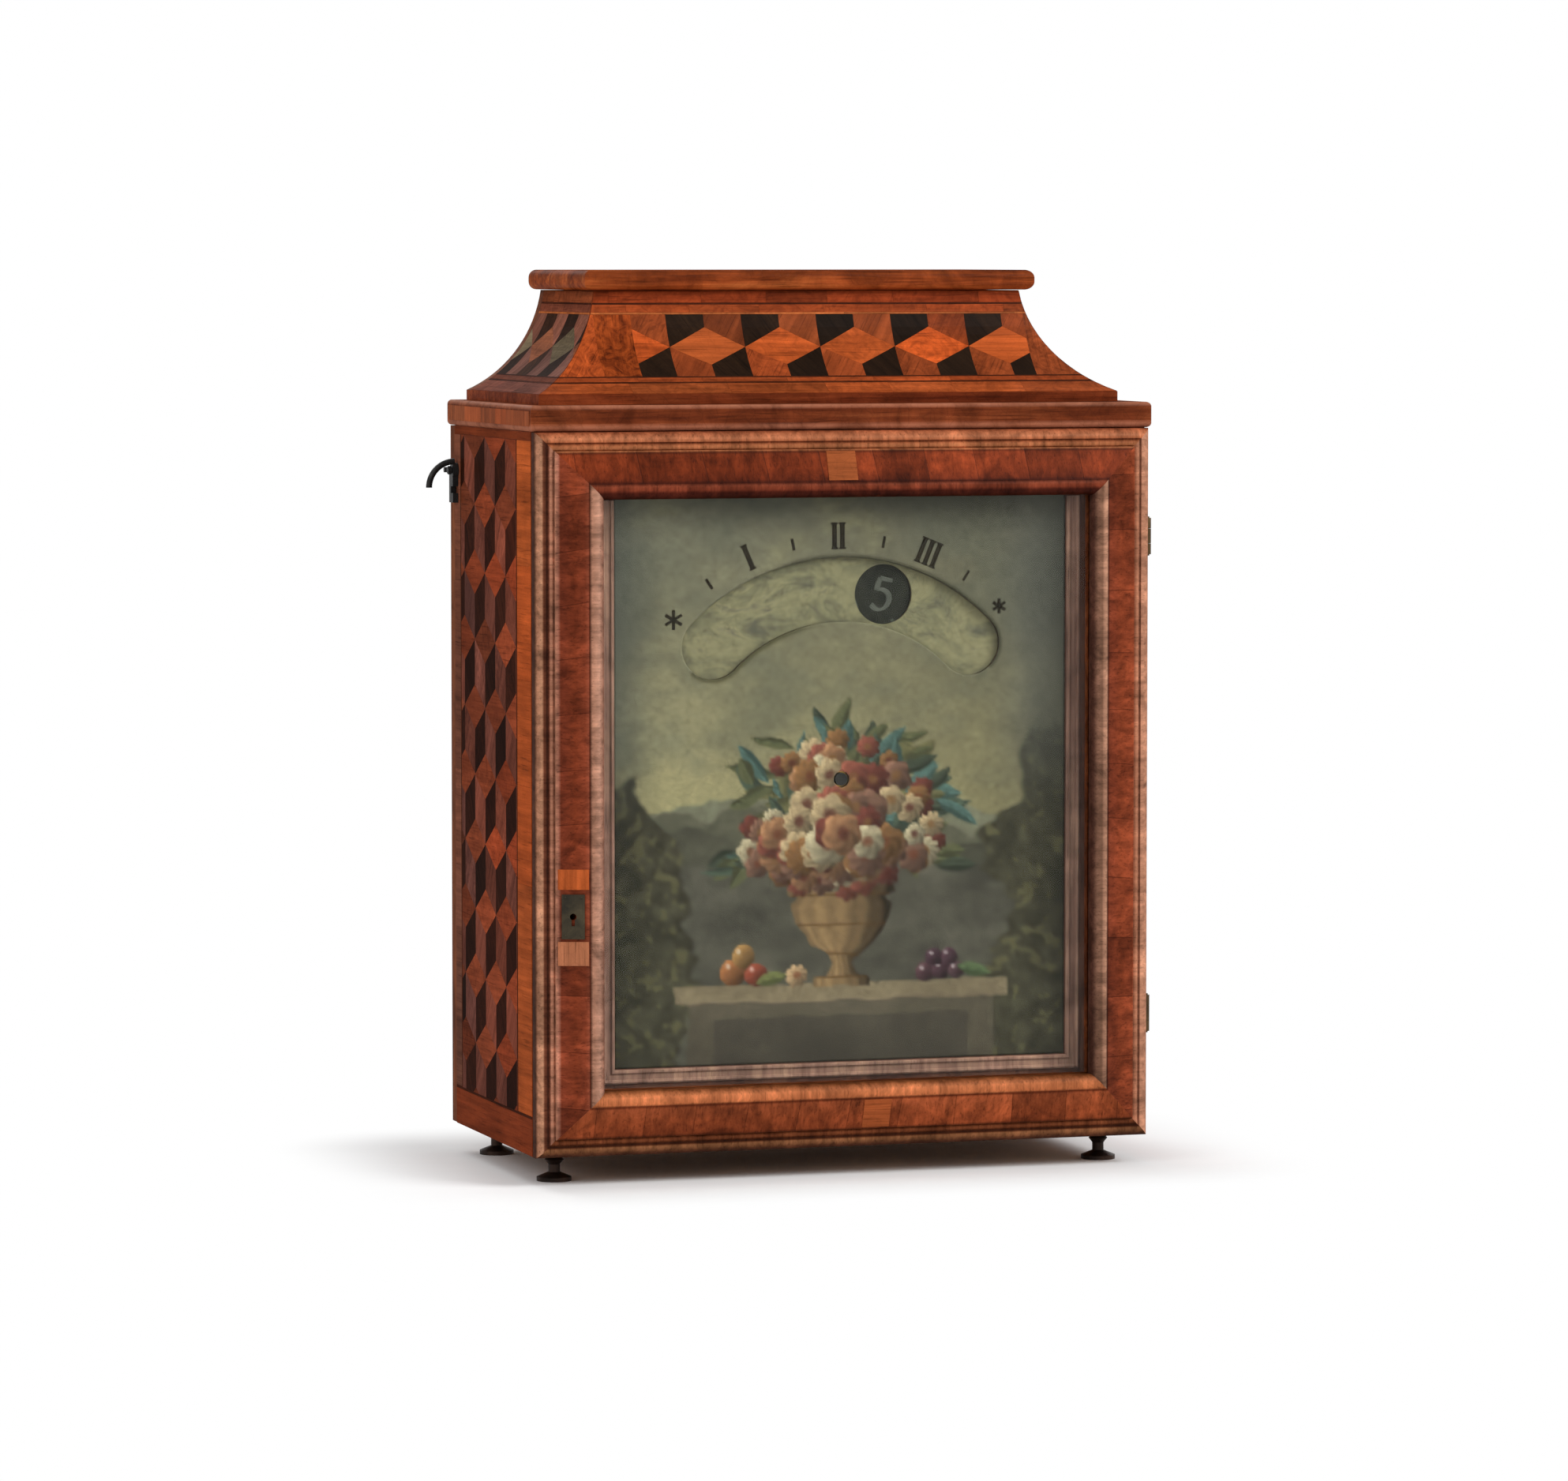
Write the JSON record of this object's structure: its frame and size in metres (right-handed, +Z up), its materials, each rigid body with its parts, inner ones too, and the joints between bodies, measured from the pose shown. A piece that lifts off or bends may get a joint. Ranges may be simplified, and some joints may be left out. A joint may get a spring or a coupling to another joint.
{
  "type": "night clock",
  "caption": "Upright veneered table night clock with a glazed hinged door, painted dial with an arched hour slot, turning hour discs, lamp chamber and hollow-curved hood.",
  "frame": {"origin": "on the standing plane under the middle of the case, between the four feet", "axes": "+Z up, the dial faces -Y, +X to the right seen from the front"},
  "size_m": [0.372, 0.1924, 0.4933],
  "materials": {
    "veneered_walnut": "waxed walnut and rosewood veneer, worn",
    "plain_pine": "plain oiled softwood, darkened with age",
    "black_iron": "blackened wrought iron",
    "bright_steel": "filed and polished steel",
    "aged_brass": "aged yellow brass, lightly tarnished",
    "blackened_copper": "blackened copper sheet",
    "painted_copper": "oil painting on copper, aged varnish",
    "old_glass": "thin old sheet glass",
    "tinplate": "dull tinned iron",
    "cotton_wick": "plaited cotton"
  },
  "bodies": {
    "case": {"base_board": "plain_pine", "left_side": "veneered_walnut", "right_side": "veneered_walnut", "top_board": "veneered_walnut", "hood_plinth": "veneered_walnut", "hood_front": "veneered_walnut", "hood_left": "veneered_walnut", "hood_right": "veneered_walnut", "hood_back": "plain_pine", "feet": "black_iron", "dial_frame": "plain_pine", "dial_plate": "painted_copper", "case_hinge_leaves": "aged_brass", "hinge_pins": "bright_steel", "latch_pivot": "black_iron", "seat_board": "plain_pine", "lamp_shelf": "plain_pine", "oil_lamp": "tinplate", "lamp_wick": "cotton_wick", "movement_front_plate": "aged_brass", "movement_back_plate": "aged_brass", "movement_pillars": "aged_brass", "pendulum_cock": "aged_brass", "carrier_stud": "bright_steel", "click_screw": "bright_steel"},
    "front_door": {"door_stile_left": "veneered_walnut", "door_stile_right": "veneered_walnut", "door_rail_top": "veneered_walnut", "door_rail_bottom": "veneered_walnut", "door_glass": "old_glass", "glazing_strips": "plain_pine", "lock_plate": "black_iron", "lock_case": "black_iron", "door_hinge_leaves": "aged_brass"},
    "bolt": {"lock_bolt": "bright_steel"},
    "rear_door": {"rear_door_panel": "plain_pine", "rear_door_hinge_leaves": "aged_brass", "latch_stud": "black_iron"},
    "hook": {"latch_hook": "black_iron"},
    "vent_lid": {"vent_cap": "veneered_walnut", "cap_hinge_leaves": "aged_brass"},
    "carrier": {"hour_carrier": "blackened_copper", "carrier_wheel": "aged_brass"},
    "centre": {"centre_arbor": "bright_steel", "centre_wheel": "aged_brass"},
    "barrel": {"spring_barrel": "aged_brass"},
    "third": {"third_arbor": "bright_steel", "third_wheel": "aged_brass"},
    "escape": {"escape_arbor": "bright_steel", "escape_wheel": "aged_brass"},
    "winder": {"winding_arbor": "bright_steel", "ratchet_wheel": "bright_steel"},
    "pawl": {"click": "bright_steel"},
    "pendulum": {"anchor": "bright_steel", "pendulum_rod": "bright_steel", "pendulum_bob": "aged_brass"},
    "hour_disc_1_body": {"hour_disc_1": "blackened_copper"},
    "hour_disc_2_body": {"hour_disc_2": "blackened_copper"},
    "hour_disc_3_body": {"hour_disc_3": "blackened_copper"},
    "hour_disc_4_body": {"hour_disc_4": "blackened_copper"}
  },
  "joints": [
    {"name": "front_door_swing", "type": "hinge", "parent": "case", "child": "front_door", "pos_m": [0.1762, -0.08185, 0.2], "axis": [0, 0, 1], "range_deg": [0, 110]},
    {"name": "lock_bolt_slide", "type": "slide", "parent": "front_door", "child": "bolt", "axis": [-1, 0, 0], "range_m": [0, 0.005]},
    {"name": "rear_door_swing", "type": "hinge", "parent": "case", "child": "rear_door", "pos_m": [0.1762, 0.07835, 0.2], "axis": [0, 0, -1], "range_deg": [0, 110]},
    {"name": "rear_hook_turn", "type": "hinge", "parent": "case", "child": "hook", "pos_m": [-0.177, 0.0722, 0.382], "axis": [1, 0, 0], "range_deg": [-270, 0]},
    {"name": "vent_lid_lift", "type": "hinge", "parent": "case", "child": "vent_lid", "pos_m": [0, 0.0887, 0.48215], "axis": [-1, 0, 0], "range_deg": [0, 100]},
    {"name": "centre_turn", "type": "hinge", "parent": "case", "child": "centre", "pos_m": [0, -0.03, 0.1765], "axis": [0, 1, 0], "continuous": true},
    {"name": "carrier_turn", "type": "hinge", "parent": "case", "child": "carrier", "pos_m": [0, -0.076, 0.2165], "axis": [0, 1, 0], "continuous": true},
    {"name": "barrel_turn", "type": "hinge", "parent": "case", "child": "barrel", "pos_m": [0.01826, -0.03, 0.13735], "axis": [0, 1, 0], "continuous": true},
    {"name": "third_turn", "type": "hinge", "parent": "case", "child": "third", "pos_m": [0.01383, -0.03, 0.20228], "axis": [0, 1, 0], "continuous": true},
    {"name": "escape_turn", "type": "hinge", "parent": "case", "child": "escape", "pos_m": [0, -0.03, 0.225], "axis": [0, 1, 0], "continuous": true},
    {"name": "winding_turn", "type": "hinge", "parent": "case", "child": "winder", "pos_m": [0.01826, 0, 0.13735], "axis": [0, 1, 0], "continuous": true},
    {"name": "click_lift", "type": "hinge", "parent": "case", "child": "pawl", "pos_m": [0.03366, 0, 0.12335], "axis": [0, 1, 0], "range_deg": [0, 25], "stiffness_Nm_per_rad": 0.004, "springref_deg": -22.92},
    {"name": "pendulum_swing", "type": "hinge", "parent": "case", "child": "pendulum", "pos_m": [0, 0, 0.249], "axis": [0, 1, 0], "range_deg": [-4, 4]},
    {"name": "hour_disc_1_turn", "type": "hinge", "parent": "carrier", "child": "hour_disc_1_body", "pos_m": [0.0202, -0.0735, 0.29752], "axis": [0, 1, 0], "continuous": true},
    {"name": "hour_disc_2_turn", "type": "hinge", "parent": "carrier", "child": "hour_disc_2_body", "pos_m": [-0.08102, -0.0735, 0.2367], "axis": [0, 1, 0], "continuous": true},
    {"name": "hour_disc_3_turn", "type": "hinge", "parent": "carrier", "child": "hour_disc_3_body", "pos_m": [-0.0202, -0.0735, 0.13548], "axis": [0, 1, 0], "continuous": true},
    {"name": "hour_disc_4_turn", "type": "hinge", "parent": "carrier", "child": "hour_disc_4_body", "pos_m": [0.08102, -0.0735, 0.1963], "axis": [0, 1, 0], "continuous": true}
  ],
  "couplings": [
    {"joint": "carrier_turn", "follows": "centre_turn", "ratio": -0.25},
    {"joint": "barrel_turn", "follows": "centre_turn", "ratio": -0.125},
    {"joint": "third_turn", "follows": "centre_turn", "ratio": -12},
    {"joint": "escape_turn", "follows": "centre_turn", "ratio": 140}
  ]
}
